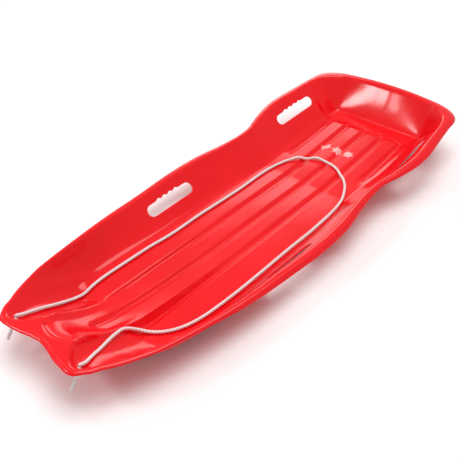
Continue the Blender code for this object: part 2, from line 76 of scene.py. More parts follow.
FINGER_PITCH = 0.019      # scallops along a slot's upper edge
FINGER_DEPTH = 0.0035
FINGER_COUNT = 4
TOUCH_GAP = 0.0003        # between pieces that touch

NOSE_Y = -LENGTH / 2
ROPE_RADIUS = ROPE_DIAMETER / 2
SIDES = (("left", -1), ("right", 1))


# %% [markdown]
# ## Camera
# A medium lens, looking down on the nose from the front right.

# %% Camera
CAMERA_AZIMUTH = radians(40.29)
CAMERA_ELEVATION = radians(37.95)
camera_data = bpy.data.cameras.new("camera")
camera_data.lens = 51.65
camera_data.sensor_width = 36.0
camera_data.clip_start = 0.05
camera_data.clip_end = 50.0
camera = bpy.data.objects.new("camera", camera_data)
camera.location = (0.7437, -0.9748, 0.9262)
camera.rotation_euler = (pi / 2 - CAMERA_ELEVATION, 0.0, CAMERA_AZIMUTH)
bpy.context.scene.collection.objects.link(camera)
bpy.context.scene.camera = camera

# %% [markdown]
# ## Shape of the sled's upper face
# Smooth curves through a few drawn points give the plan of the pan's edge and the height
# of the moulding's upper face anywhere inside it.

# %% Smooth curves
def fade(value, start, end):
    """Rise smoothly from 0 at start to 1 at end."""
    share = min(1.0, max(0.0, (value - start) / (end - start)))
    return share * share * (3.0 - 2.0 * share)


def profile(points, place):
    """Read a smooth curve through (place, value) points, flat past both ends."""
    if place <= points[0][0]:
        return points[0][1]
    if place >= points[-1][0]:
        return points[-1][1]
    index = max(i for i in range(len(points) - 1) if points[i][0] <= place)
    (x0, y0), (x1, y1) = points[index], points[index + 1]
    before = points[max(index - 1, 0)]
    after = points[min(index + 2, len(points) - 1)]
    slope0 = (y1 - before[1]) / (x1 - before[0])
    slope1 = (after[1] - y0) / (after[0] - x0)
    h = x1 - x0
    s = (place - x0) / h
    return ((1 + 2 * s) * (1 - s) ** 2 * y0 + s * (1 - s) ** 2 * h * slope0
            + s * s * (3 - 2 * s) * y1 + s * s * (s - 1) * h * slope1)


def smooth_path(points, spacing):
    """Return points about spacing apart along a Catmull-Rom curve through the given ones."""
    ends = [points[0] * 2 - points[1]] + list(points) + [points[-1] * 2 - points[-2]]
    fine = []
    for i in range(1, len(ends) - 2):
        p0, p1, p2, p3 = ends[i - 1:i + 3]
        for step in range(24):
            t = step / 24
            fine.append(0.5 * (2 * p1 + (p2 - p0) * t + (2 * p0 - 5 * p1 + 4 * p2 - p3) * t * t
                               + (3 * p1 - p0 - 3 * p2 + p3) * t * t * t))
    fine.append(points[-1].copy())
    total = sum((b - a).length for a, b in zip(fine, fine[1:]))
    count = max(2, round(total / spacing))
    even, walked, target = [fine[0]], 0.0, total / count
    for a, b in zip(fine, fine[1:]):
        piece = (b - a).length
        while walked + piece >= target and len(even) < count:
            even.append(a.lerp(b, (target - walked) / piece))
            target += total / count
        walked += piece
    even.append(fine[-1])
    return even


def smooth_max(a, b, radius):
    """Return the larger of two heights, with a fillet where they cross."""
    overlap = max(0.0, radius - abs(a - b)) / radius
    return max(a, b) + overlap * overlap * radius / 4.0


def smooth_min(a, b, radius):
    """Return the smaller of two heights, with a rounding where they cross."""
    return -smooth_max(-a, -b, radius)


# %% Plan and heights
# The pan's edge, drawn at the base length and width: the nose and tail edges are
# (distance from the middle, station), the side edge is (station, half width).
BASE_LENGTH = 1.228
BASE_PAN_WIDTH = 0.418
BASE_FLOOR_WIDTH = 0.262
NOSE_EDGE = [(0.0, 0.0235), (0.025, 0.0192), (0.05, 0.0125), (0.075, 0.0091), (0.088, 0.008),
             (0.098, 0.0115), (0.1055, 0.021)]
SIDE_EDGE = [(0.021, 0.1055), (0.030, 0.1125), (0.046, 0.1195), (0.060, 0.1275),
             (0.078, 0.1365), (0.110, 0.1495), (0.142, 0.1605), (0.220, 0.1755),
             (0.330, 0.188), (0.440, 0.194), (0.550, 0.2015), (0.640, 0.2005),
             (0.720, 0.191), (0.775, 0.187), (0.825, 0.189), (0.880, 0.201),
             (0.950, 0.209), (1.030, 0.2025), (1.095, 0.1965), (1.130, 0.189),
             (1.150, 0.179), (1.160, 0.170)]
TAIL_EDGE = [(0.0, 1.200), (0.050, 1.198), (0.095, 1.192), (0.130, 1.183), (0.154, 1.172),
             (0.170, 1.160)]
LENGTH_SCALE = LENGTH / BASE_LENGTH
WIDTH_SCALE = PAN_WIDTH / BASE_PAN_WIDTH
FLOOR_SCALE = FLOOR_WIDTH / BASE_FLOOR_WIDTH / WIDTH_SCALE
LANE_PITCH = GROOVE_PITCH / WIDTH_SCALE
HORN_X = HORN_SPREAD / 2 / WIDTH_SCALE
FRONT_CORNER = SIDE_EDGE[0][0]
REAR_CORNER = SIDE_EDGE[-1][0]


def edge_half_width(station):
    """Half width of the pan's edge at a station along its side."""
    return profile(SIDE_EDGE, station)


def nose_edge(x):
    """Station of the pan's front edge at a distance from the middle."""
    return profile(NOSE_EDGE, abs(x))


def tail_edge(x):
    """Station of the pan's rear edge at a distance from the middle."""
    return profile(TAIL_EDGE, abs(x))


# %% Heights of the upper face
RIM_LINE = [(0.02, NOSE_RIM_HEIGHT), (0.20, WAIST_RIM_HEIGHT + 0.0055),
            (0.40, WAIST_RIM_HEIGHT), (0.60, WAIST_RIM_HEIGHT + 0.002),
            (0.80, WAIST_RIM_HEIGHT + 0.009), (0.95, TAIL_RIM_HEIGHT - 0.0195),
            (1.15, TAIL_RIM_HEIGHT - 0.001), (1.20, TAIL_RIM_HEIGHT)]
# Share of the nose height that is left, along the horn pockets and along the middle ramp.
POCKET_FALL = [(0.012, 1.0), (0.0145, 0.985), (0.019, 0.925), (0.0235, 0.875), (0.028, 0.840),
               (0.040, 0.775), (0.062, 0.685), (0.092, 0.530), (0.120, 0.365), (0.140, 0.255),
               (0.156, 0.165), (0.175, 0.075), (0.195, 0.015), (0.210, 0.0)]
RAMP_FALL = [(0.033, 1.0), (0.0355, 0.980), (0.041, 0.920), (0.045, 0.902), (0.054, 0.885),
             (0.064, 0.850), (0.098, 0.59),
             (0.123, 0.43), (0.142, 0.345), (0.170, 0.255), (0.200, 0.195), (0.240, 0.14),
             (0.290, 0.085), (0.343, 0.045), (0.400, 0.015), (0.450, 0.0)]
FLOOR_FOOT = [(0.02, 0.090), (0.04, 0.097), (0.080, 0.108), (0.110, 0.115), (0.210, 0.127), (0.340, 0.131),
              (0.650, 0.131), (0.730, 0.127), (0.830, 0.122), (0.950, 0.130), (1.040, 0.130),
              (1.110, 0.126)]
WALL_CURVE = [(0.05, 1.9), (0.20, 2.1), (0.40, 1.35), (0.55, 1.2)]   # 1 is a flat wall
TAIL_WALL_CURVE = 1.25
TAIL_FOOT = 1.143         # station where the rear wall meets the seat floor
SEAT_LINE = [(0.80, 0.0), (0.95, 0.47), (1.08, 1.0), (1.16, 1.25)]
SEAT_GROOVES = (0.87, 0.92)
PANEL_END = (1.078, 1.100)
MIDDLE_GROOVE_START = (0.118, 0.135)
OUTER_PANEL_START = (0.175, 0.215)
RIDGE_RISE = 0.004        # of the two ridges beside the middle ramp
RIDGE_SPAN = (0.026, 0.040)
RIDGE_FADE = (0.12, 0.22)


def rim_height(station):
    """Height of the rim's top."""
    return profile(RIM_LINE, station)


def groove_floor(station):
    """Height of the groove bottoms: level under the pan, and rising into the seat."""
    return WALL + SEAT_RISE * profile(SEAT_LINE, station)


def panel_share(x, station):
    """1 on a raised panel, 0 in a groove, smooth on the slopes between them."""
    depth = 0.0
    flat = GROOVE_FLAT / 2
    for lane in range(-2, 3):
        near = 1.0 - fade(abs(x - lane * LANE_PITCH), flat, flat + GROOVE_SLOPE)
        if abs(lane) == 2:
            near *= fade(station, *SEAT_GROOVES)
        if lane == 0:
            near *= fade(station, *MIDDLE_GROOVE_START)
        depth = max(depth, near)
    return 1.0 - depth


# The pocket walls and the ramp's foot bow back away from their own middle lines.
POCKET_BOW = 0.030
POCKET_BOW_REACH = 0.038
POCKET_BOW_LIMIT = 0.045
RAMP_BOW = 0.0145
RAMP_BOW_REACH = 0.040


def floor_height(x, station):
    """Height of the floor, the middle ramp and the horn pockets, without the walls."""
    side = abs(x)
    bottom = groove_floor(station)
    full = rim_height(station)
    pocket_bow = min(POCKET_BOW_LIMIT, POCKET_BOW * ((side - HORN_X) / POCKET_BOW_REACH) ** 2)
    pocket = bottom + (full - bottom) * profile(POCKET_FALL, station - pocket_bow)
    ramp_bow = RAMP_BOW * (side / RAMP_BOW_REACH) ** 2
    panel_top = bottom + PANEL_RISE
    ramp = panel_top + (full - panel_top) * profile(RAMP_FALL, station - ramp_bow)
    ramp += RIDGE_RISE * fade(side, *RIDGE_SPAN) * (1.0 - fade(station, *RIDGE_FADE))
    share = panel_share(x, station)
    rear = 1.0 - fade(station, *PANEL_END)
    if side < LANE_PITCH / 2:
        return ramp - PANEL_RISE * (1.0 - share * rear)
    if side < LANE_PITCH:
        return pocket + (ramp - pocket) * share * rear
    return pocket + PANEL_RISE * fade(station, *OUTER_PANEL_START) * rear * share


def wall_rise(x, station):
    """0 on the floor and 1 at the pan's edge, rising up the side and rear walls."""
    edge = edge_half_width(max(FRONT_CORNER, min(REAR_CORNER, station)))
    foot = profile(FLOOR_FOOT, station) * FLOOR_SCALE
    up_side = max(0.0, min(1.0, (abs(x) - foot) / (edge - foot)))
    up_rear = max(0.0, min(1.0, (station - TAIL_FOOT) / (tail_edge(x) - TAIL_FOOT)))
    side_rise = up_side ** profile(WALL_CURVE, station)
    rear_rise = up_rear ** TAIL_WALL_CURVE
    return 1.0 - (1.0 - side_rise) * (1.0 - rear_rise)


def upper_face(x, station):
    """Height of the moulding's upper face anywhere inside the pan's edge."""
    top = rim_height(station)
    floor = min(floor_height(x, station), top)
    return floor + (top - floor) * wall_rise(x, station)


# %% Places on the sled
# How wide the rim is, as a share of its full reach: narrow at the nose and the waist.
RIM_SHARE = [(0.02, 0.40), (0.20, 0.42), (0.33, 0.78), (0.45, 1.0), (0.64, 1.0), (0.75, 0.78),
             (0.83, 0.66), (0.92, 0.98), (1.00, 1.18), (1.11, 1.10), (1.155, 1.75), (1.175, 1.72),
             (1.192, 1.40), (1.20, 1.40)]


def place(x, station, height):
    """Turn a drawn distance from the middle and a drawn station into a point."""
    return Vector((x * WIDTH_SCALE, NOSE_Y + station * LENGTH_SCALE, height))


def rim_share(point):
    """Share of the rim's full reach beside a point of the pan's edge."""
    return profile(RIM_SHARE, (point.y - NOSE_Y) / LENGTH_SCALE)


def row_bend(distance, row, column):
    """How far a row at a distance from an end still follows the end's curve."""
    edge = abs(row[0])
    foot = abs(row[WALL_LINES])
    up_wall = max(0.0, min(1.0, (abs(row[column]) - foot) / (edge - foot)))
    reach = ROW_BEND_FLOOR + (ROW_BEND_EDGE - ROW_BEND_FLOOR) * up_wall ** 0.5
    return max(0.0, 1.0 - distance / reach) ** 2


HOLE_FEEL = 0.003         # along the pan, each way, where the wall's slope is felt


def hole_frame(side):
    """Return the middle of a rope hole on the upper face, and its axis up out of the wall."""
    x = HORN_X * side
    back = place(x, ROPE_HOLE_STATION + HOLE_FEEL, upper_face(x, ROPE_HOLE_STATION + HOLE_FEEL))
    front = place(x, ROPE_HOLE_STATION - HOLE_FEEL, upper_face(x, ROPE_HOLE_STATION - HOLE_FEEL))
    axis = Vector((side, 0.0, 0.0)).cross(front - back)
    if axis.z < 0.0:
        axis.negate()
    return (front + back) / 2, axis.normalized()


# %% [markdown]
# ## Tow rope
# The rope comes first: its route is the one in the part's source. The loop starts above the
# left rope hole, lies along the pan and round the seat, and ends above the right hole.
# It is a laid rope: three round strands twisted together.

# %% Route of the rope
# Places along each rope hole's axis, measured from the upper face.
PIVOT_LIFT = 0.0043       # where the loop turns about the two holes
END_TOP = PIVOT_LIFT - ROPE_RADIUS - TOUCH_GAP
END_BELOW_WALL = 0.0015
END_BOTTOM = -WALL - END_BELOW_WALL
TAIL_SLANT = (0.0, -0.62, -0.78)
REST_GAP = 0.0006         # under a rope that lies on the moulding
# Where the rope lies, from the left hole back along the left wall, round the seat and
# forward again to the right hole: (distance from the middle, station, lift off the floor).
ROPE_ROUTE = [(-0.0888, 0.043, 0.0), (-0.0902, 0.062, 0.0), (-0.0922, 0.085, 0.0),
              (-0.0944, 0.110, 0.0), (-0.0966, 0.134, 0.0), (-0.0985, 0.153, 0.0),
              (-0.1010, 0.173, 0.0), (-0.1045, 0.200, 0.0), (-0.1080, 0.228, 0.0),
              (-0.1095, 0.262, 0.0), (-0.1087, 0.317, 0.0), (-0.1075, 0.375, 0.0),
              (-0.1035, 0.420, 0.0), (-0.1025, 0.464, 0.0), (-0.1035, 0.532, 0.0),
              (-0.1015, 0.601, 0.0), (-0.1003, 0.674, 0.0), (-0.1018, 0.740, 0.0),
              (-0.1010, 0.790, 0.0), (-0.0940, 0.826, 0.0), (-0.0835, 0.854, 0.0),
              (-0.0670, 0.875, 0.0), (-0.0460, 0.890, 0.0), (-0.0220, 0.901, 0.0),
              (0.0120, 0.900, 0.0), (0.0520, 0.881, 0.0), (0.0860, 0.850, 0.0),
              (0.1040, 0.821, 0.0), (0.1180, 0.783, 0.0), (0.1255, 0.727, 0.0),
              (0.1290, 0.641, 0.0), (0.1280, 0.567, 0.0), (0.1290, 0.461, 0.0),
              (0.1290, 0.394, 0.0), (0.1270, 0.336, 0.0), (0.1220, 0.283, 0.0),
              (0.1100, 0.241, 0.0), (0.0910, 0.212, 0.0), (0.0740, 0.198, 0.001),
              (0.0610, 0.186, 0.003), (0.0520, 0.169, 0.005), (0.0515, 0.147, 0.005),
              (0.0575, 0.121, 0.003), (0.0675, 0.090, 0.0), (0.0785, 0.060, 0.0),
              (0.0855, 0.043, 0.0)]
ROPE_POINT_SPACING = 0.024
ROPE_LOOKS = 6            # places where the floor is felt between two points of the rope
ROPE_ROUNDS = 2
FEEL_SPOKES = 8
FEEL_RINGS = 2


def resting_height(x, station):
    """Height of the rope's middle where it lies on the moulding's upper face."""
    reach = ROPE_RADIUS + REST_GAP
    best = upper_face(x, station) + reach
    for ring in range(1, FEEL_RINGS + 1):
        out = reach * ring / FEEL_RINGS
        drop = (max(0.0, reach * reach - out * out)) ** 0.5
        for spoke in range(FEEL_SPOKES):
            angle = 2 * pi * spoke / FEEL_SPOKES
            height = upper_face(x + out * cos(angle), station + out * sin(angle))
            best = max(best, height + drop)
    return best


def loop_points():
    """Middle line of the loop, from above the left hole to above the right one."""
    route = [Vector(point) for point in ROPE_ROUTE]
    plan = smooth_path(route, ROPE_POINT_SPACING)
    heights = [resting_height(point.x, point.y) + point.z for point in plan]
    for _ in range(ROPE_ROUNDS):
        for index in range(len(plan) - 1):
            for look in range(1, ROPE_LOOKS):
                share = look / ROPE_LOOKS
                spot = plan[index].lerp(plan[index + 1], share)
                level = heights[index] + (heights[index + 1] - heights[index]) * share
                short = max(0.0, resting_height(spot.x, spot.y) + spot.z - level)
                heights[index] += short
                heights[index + 1] += short
    middle = [place(point.x, point.y, height) for point, height in zip(plan, heights)]
    return [pivot(-1)] + middle + [pivot(1)]


def pivot(side):
    """Point above a rope hole that the loop turns about."""
    centre, axis = hole_frame(side)
    return centre + axis * PIVOT_LIFT


# %% Materials helpers
class Nodes:
    """Short ways to add shader nodes to one material."""

    def __init__(self, name):
        self.material = bpy.data.materials.new(name)
        self.material.use_nodes = True
        self.tree = self.material.node_tree
        self.shader = self.tree.nodes["Principled BSDF"]
        self.coords = self.tree.nodes.new("ShaderNodeTexCoord")

    def put(self, socket, value):
        """Set a socket to a constant, or join it to another node's output."""
        if isinstance(value, bpy.types.NodeSocket):
            self.tree.links.new(value, socket)
        else:
            socket.default_value = value

    def math(self, operation, a, b=0.0, c=0.0):
        """Add one step of arithmetic."""
        node = self.tree.nodes.new("ShaderNodeMath")
        node.operation = operation
        for socket, value in zip(node.inputs, (a, b, c)):
            self.put(socket, value)
        return node.outputs[0]

    def noise(self, coords, scale, detail=3.0, roughness=0.55):
        """Add a noise texture."""
        node = self.tree.nodes.new("ShaderNodeTexNoise")
        self.put(node.inputs["Vector"], coords)
        node.inputs["Scale"].default_value = scale
        node.inputs["Detail"].default_value = detail
        node.inputs["Roughness"].default_value = roughness
        return node.outputs["Fac"]

    def stretch(self, coords, scale):
        """Stretch coordinates along each axis."""
        node = self.tree.nodes.new("ShaderNodeMapping")
        self.put(node.inputs["Vector"], coords)
        node.inputs["Scale"].default_value = scale
        return node.outputs[0]

    def ramp(self, value, low, high, start=0.0, end=1.0):
        """Read a value between two limits as a smooth step from start to end."""
        node = self.tree.nodes.new("ShaderNodeMapRange")
        node.interpolation_type = "SMOOTHSTEP"
        self.put(node.inputs["Value"], value)
        self.put(node.inputs["From Min"], low)
        self.put(node.inputs["From Max"], high)
        self.put(node.inputs["To Min"], start)
        self.put(node.inputs["To Max"], end)
        return node.outputs[0]

    def blend(self, share, first, second):
        """Blend two colours."""
        node = self.tree.nodes.new("ShaderNodeMix")
        node.data_type = "RGBA"
        self.put(node.inputs["Factor"], share)
        self.put(node.inputs["A"], first)
        self.put(node.inputs["B"], second)
        return node.outputs["Result"]

    def bump(self, height, distance, strength=1.0, normal=None):
        """Add a bump and return its normal."""
        node = self.tree.nodes.new("ShaderNodeBump")
        node.inputs["Strength"].default_value = strength
        node.inputs["Distance"].default_value = distance
        self.put(node.inputs["Height"], height)
        if normal is not None:
            self.put(node.inputs["Normal"], normal)
        return node.outputs[0]


# %% Rope material
STRANDS = 3
LAY_LENGTH = 0.021        # one full turn of the strands
YARNS_PER_METRE = 720.0
YARNS_ACROSS = 4.0        # yarns that one strand's slant crosses


def rope_material():
    """White laid rope: fine yarns that cross each strand, with painted shade in the furrows between them,
    a few loose fibres, slight soil.
    """
    n = Nodes("white_rope_look")
    split = n.tree.nodes.new("ShaderNodeSeparateXYZ")
    n.put(split.inputs[0], n.coords.outputs["UV"])
    along, around = split.outputs["X"], split.outputs["Y"]
    slant = n.math("ADD", n.math("MULTIPLY", along, YARNS_PER_METRE),
                   n.math("MULTIPLY", around, YARNS_ACROSS))
    yarn = n.math("SINE", n.math("MULTIPLY", slant, 2 * pi))
    yarn_height = n.ramp(yarn, -1.0, 1.0)
    fibre = n.noise(n.stretch(n.coords.outputs["UV"], (900.0, 60.0, 1.0)), 1.0, 4.0, 0.6)
    soil = n.noise(n.coords.outputs["Object"], 24.0, 4.0, 0.6)
    # Painted shade: the colour is darker where the yarns dip, in the furrows between them; soil then
    # darkens it at random.
    painted_yarn_shade_and_soil = n.blend(n.ramp(yarn_height, 0.0, 0.8), (0.70, 0.67, 0.66, 1.0), (0.92, 0.91, 0.90, 1.0))
    painted_yarn_shade_and_soil = n.blend(n.ramp(soil, 0.45, 0.80, 0.0, 0.30), painted_yarn_shade_and_soil, (0.66, 0.60, 0.56, 1.0))
    n.put(n.shader.inputs["Base Color"], painted_yarn_shade_and_soil)
    n.put(n.shader.inputs["Roughness"], n.ramp(fibre, 0.2, 0.8, 0.62, 0.88))
    n.shader.inputs["Subsurface Weight"].default_value = 0.12
    n.shader.inputs["Subsurface Radius"].default_value = (0.002, 0.0018, 0.0016)
    n.shader.inputs["Subsurface Scale"].default_value = 0.5
    n.shader.inputs["Sheen Weight"].default_value = 0.35
    normal = n.bump(yarn_height, 0.00022)
    normal = n.bump(fibre, 0.00012, 0.8, normal)
    n.put(n.shader.inputs["Normal"], normal)
    return n.material


ROPE_LOOK = rope_material()

# %% Laid rope
RING_SPACING = 0.0021
STRAND_SIDES = 9          # points round the outside of one strand
STRAND_RADIUS = ROPE_RADIUS / (1.0 + 2.0 / 3.0 ** 0.5)
STRAND_OFFSET = ROPE_RADIUS - STRAND_RADIUS
CREVICE = 0.64            # how deep the furrows between strands go, as a share of the radius


def strand_reach(angle):
    """Distance from the rope's middle line to the outside of the nearest strand."""
    third = 2 * pi / STRANDS
    off = (angle + third / 2) % third - third / 2
    inside = max(0.0, STRAND_RADIUS ** 2 - (STRAND_OFFSET * sin(off)) ** 2)
    return max(ROPE_RADIUS * CREVICE, STRAND_OFFSET * cos(off) + inside ** 0.5)


def carried_frames(path):
    """Two directions across a path at each of its points, carried along without twisting."""
    frames = []
    side = None
    for index, point in enumerate(path):
        before = path[max(0, index - 1)]
        after = path[min(len(path) - 1, index + 1)]
        forward = (after - before).normalized()
        if side is None:
            side = forward.orthogonal()
        side = (side - forward * side.dot(forward)).normalized()
        frames.append((forward, side.copy(), forward.cross(side)))
    return frames


def laid_rope(name, path, start_round=0.9, end_round=0.9):
    """Make a rope of three twisted strands along a path, with rounded ends."""
    frames = carried_frames(path)
    sides = STRANDS * STRAND_SIDES
    dome = (0.30, 0.62, 0.86)
    rings = []
    travelled = 0.0
    last = len(path) - 1
    for share in dome:
        back = -ROPE_RADIUS * start_round * (1.0 - share ** 2) ** 0.5
        rings.append((path[0] + frames[0][0] * back, frames[0], share, back))
    for index, point in enumerate(path):
        if index:
            travelled += (point - path[index - 1]).length
        rings.append((point, frames[index], 1.0, travelled))
    for share in reversed(dome):
        ahead = ROPE_RADIUS * end_round * (1.0 - share ** 2) ** 0.5
        rings.append((path[last] + frames[last][0] * ahead, frames[last], share,
                      travelled + ahead))
    bm = bmesh.new()
    bmesh.ops.create_grid(bm, x_segments=sides, y_segments=len(rings) - 1, size=1.0)
    bm.verts.ensure_lookup_table()
    uv = bm.loops.layers.uv.new("UVMap")
    twist_step = 2 * pi / LAY_LENGTH
    places = {}
    for row, (centre, axes, share, along) in enumerate(rings):
        for column in range(sides + 1):
            angle = 2 * pi * (column % sides) / sides
            turned = angle + along * twist_step
            reach = strand_reach(angle) * share
            vert = bm.verts[row * (sides + 1) + column]
            vert.co = centre + (axes[1] * cos(turned) + axes[2] * sin(turned)) * reach
            places[vert] = (along, column / STRAND_SIDES)
    for face in bm.faces:
        for loop in face.loops:
            loop[uv].uv = places[loop.vert]
    first_row = [bm.verts[column] for column in range(sides)]
    end_base = (len(rings) - 1) * (sides + 1)
    last_row = [bm.verts[end_base + column] for column in range(sides)]
    bm.faces.new(list(reversed(first_row)))
    bm.faces.new(last_row)
    bmesh.ops.remove_doubles(bm, verts=bm.verts[:], dist=0.00001)
    bmesh.ops.recalc_face_normals(bm, faces=bm.faces[:])
    for face in bm.faces:
        face.smooth = True
    mesh = bpy.data.meshes.new(name)
    bm.to_mesh(mesh)
    bm.free()
    mesh.materials.append(ROPE_LOOK)
    rope = bpy.data.objects.new(name, mesh)
    bpy.context.scene.collection.objects.link(rope)
    return rope


loop_path = smooth_path(loop_points(), RING_SPACING)
tow_rope = laid_rope("tow_rope_laid", loop_path)
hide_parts("tow_rope")
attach(tow_rope, "rope")

# %% Rope ends, knots and loose tails
KNOT_TURNS = 1.35
KNOT_COIL = 0.0043        # radius of the coil that the knot is wound in
KNOT_RISE = 0.0062        # how far the coil climbs in a turn
KNOT_STEPS = 40
KNOT_RING_SHARE = 0.7     # of the usual ring spacing, where the rope bends tightly
END_TUCK = 0.0008         # an end stops this far below the loop
END_REACH = 0.001         # and runs this far into its knot
TAIL_START = 0.55         # share of the knot's radius where the tail begins
TAIL_SAG = (0.0012, 0.0010)   # how far a tail's middle bends, outwards and back


def knot_path(centre, axis, side):
    """A short coil round the rope's own line, as in an overhand knot."""
    across = axis.orthogonal().normalized()
    other = axis.cross(across)
    points = []
    for step in range(KNOT_STEPS + 1):
        share = step / KNOT_STEPS
        angle = side * 2 * pi * KNOT_TURNS * share
        rise = KNOT_RISE * KNOT_TURNS * (0.5 - share)
        points.append(centre + axis * rise + (across * cos(angle) + other * sin(angle)) * KNOT_COIL)
    return smooth_path(points, RING_SPACING * KNOT_RING_SHARE)


for side_name, side in SIDES:
    hole_centre, hole_axis = hole_frame(side)
    knot_radius = KNOT_DIAMETER / 2
    knot_centre = hole_centre + hole_axis * (END_BOTTOM - TOUCH_GAP - knot_radius)
    end_path = smooth_path([hole_centre + hole_axis * (END_TOP - END_TUCK),
                            hole_centre + hole_axis * (END_BOTTOM - END_REACH)], RING_SPACING)
    rope_end = laid_rope(f"rope_end_{side_name}_laid", end_path, 0.25, 0.1)
    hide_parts(f"rope_end_{side_name}")
    knot = laid_rope(f"rope_knot_{side_name}_wound", knot_path(knot_centre, hole_axis, side))
    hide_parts(f"rope_knot_{side_name}")
    slant = Vector(TAIL_SLANT).normalized()
    tail_start = knot_centre + slant * (knot_radius * TAIL_START)
    tail_end = knot_centre + slant * (knot_radius + ROPE_TAIL_LENGTH)
    bend = (tail_start + tail_end) / 2 + Vector((TAIL_SAG[0] * side, TAIL_SAG[1], 0.0))
    tail = laid_rope(f"rope_tail_{side_name}_laid",
                     smooth_path([tail_start, bend, tail_end], RING_SPACING), 0.5, 0.35)
    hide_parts(f"rope_tail_{side_name}")
    for piece in (rope_end, knot, tail):
        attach(piece, "shell")

# %% [markdown]
# ## The moulding
# The upper face is one fine grid whose points are moved on to the drawn heights. Its free
# edge is rolled outwards, ring by ring, the underside is added one wall thickness below, and
# the hand slots and rope holes are cut through.

# %% Fine grid of the pan
WALL_LINES = 18
FLOOR_STEP = 0.0027
NOSE_STEP = 0.0031
MIDDLE_STEP = 0.0068
TAIL_STEP = 0.0033
NOSE_END = 0.240
TAIL_BEGIN = 1.050
FULL_LANES_WIDTH = 0.150   # pan half width from which the floor lines keep their places
FOOT_MARGIN = 0.004
ROW_BEND_FLOOR = 0.160     # how far rows follow the nose's and tail's curve, on the floor
ROW_BEND_EDGE = 0.014      # and at the pan's edge
STEEPEST_LEAN = 0.85
EDGE_ROUNDING = 0.0045     # radius of the bend from the wall into the rim
RIM_SMOOTHING = 6          # rounds that even out the rim's direction at the corners
RIM_PROFILE = [(0.05, 0.05), (0.13, 0.10), (0.24, 0.12), (0.38, 0.10), (0.52, 0.02),
               (0.66, -0.12), (0.79, -0.33), (0.90, -0.60), (0.97, -0.82), (1.0, -1.0)]


def filled(lines, step):
    """Add evenly spread lines wherever two of them are further apart than a step."""
    result = [lines[0]]
    for low, high in zip(lines, lines[1:]):
        count = max(1, round((high - low) / step))
        result += [low + (high - low) * (i + 1) / count for i in range(count)]
    return result


def lane_lines():
    """Places across half of the floor where the mesh has a line."""
    lines = [0.0]
    flat = GROOVE_FLAT / 2
    for lane in range(3):
        for offset in (-flat - GROOVE_SLOPE, -flat, flat, flat + GROOVE_SLOPE):
            if lane * LANE_PITCH + offset > 0.0:
                lines.append(lane * LANE_PITCH + offset)
    lines.append(LANE_PITCH / 2)
    lines.append(LANE_PITCH * 1.5)
    return filled(sorted(lines), FLOOR_STEP)[1:]


def row_stations():
    """Stations of the mesh rows at the pan's edge, close together at both ends."""
    bounds = [(FRONT_CORNER, NOSE_END, NOSE_STEP), (NOSE_END, TAIL_BEGIN, MIDDLE_STEP),
              (TAIL_BEGIN, REAR_CORNER, TAIL_STEP)]
    rows = [FRONT_CORNER]
    for start, end, step in bounds:
        count = round((end - start) / step)
        rows += [start + (end - start) * (i + 1) / count for i in range(count)]
    return rows


def row_places(station):
    """Distances from the middle of a row's points, from one edge of the pan to the other."""
    edge = edge_half_width(station)
    squeeze = min(1.0, edge / FULL_LANES_WIDTH)
    half = [line * squeeze for line in lane_lines()]
    foot = max(half[-1] + FOOT_MARGIN, profile(FLOOR_FOOT, station) * FLOOR_SCALE)
    half += [foot + (edge - foot) * i / WALL_LINES for i in range(WALL_LINES + 1)]
    return [-spot for spot in reversed(half)] + [0.0] + half


def rounded_face(x, station):
    """The upper face, with a soft bend where a wall meets the rim."""
    top = rim_height(station)
    return smooth_min(upper_face(x, station), top, EDGE_ROUNDING)


def shell_grid():
    """Make the upper face as one open sheet, roll its edge and add its underside."""
    stations = row_stations()
    first = row_places(stations[0])
    last = row_places(stations[-1])
    columns = len(first)
    bm = bmesh.new()
    bmesh.ops.create_grid(bm, x_segments=columns - 1, y_segments=len(stations) - 1, size=1.0)
    bm.verts.ensure_lookup_table()
    for row, edge_station in enumerate(stations):
        places = row_places(edge_station)
        for column, x in enumerate(places):
            near_nose = row_bend(edge_station - FRONT_CORNER, first, column)
            near_tail = row_bend(REAR_CORNER - edge_station, last, column)
            station = edge_station
            station += (nose_edge(first[column]) - FRONT_CORNER) * near_nose
            station += (tail_edge(last[column]) - REAR_CORNER) * near_tail
            bm.verts[row * columns + column].co = place(x, station, rounded_face(x, station))
    add_rim(bm, [edge for edge in bm.edges if edge.is_boundary])
    bmesh.ops.recalc_face_normals(bm, faces=bm.faces[:])
    if sum(face.normal.z for face in bm.faces) < 0.0:
        bmesh.ops.reverse_faces(bm, faces=bm.faces[:])
    thicken(bm)
    return bm


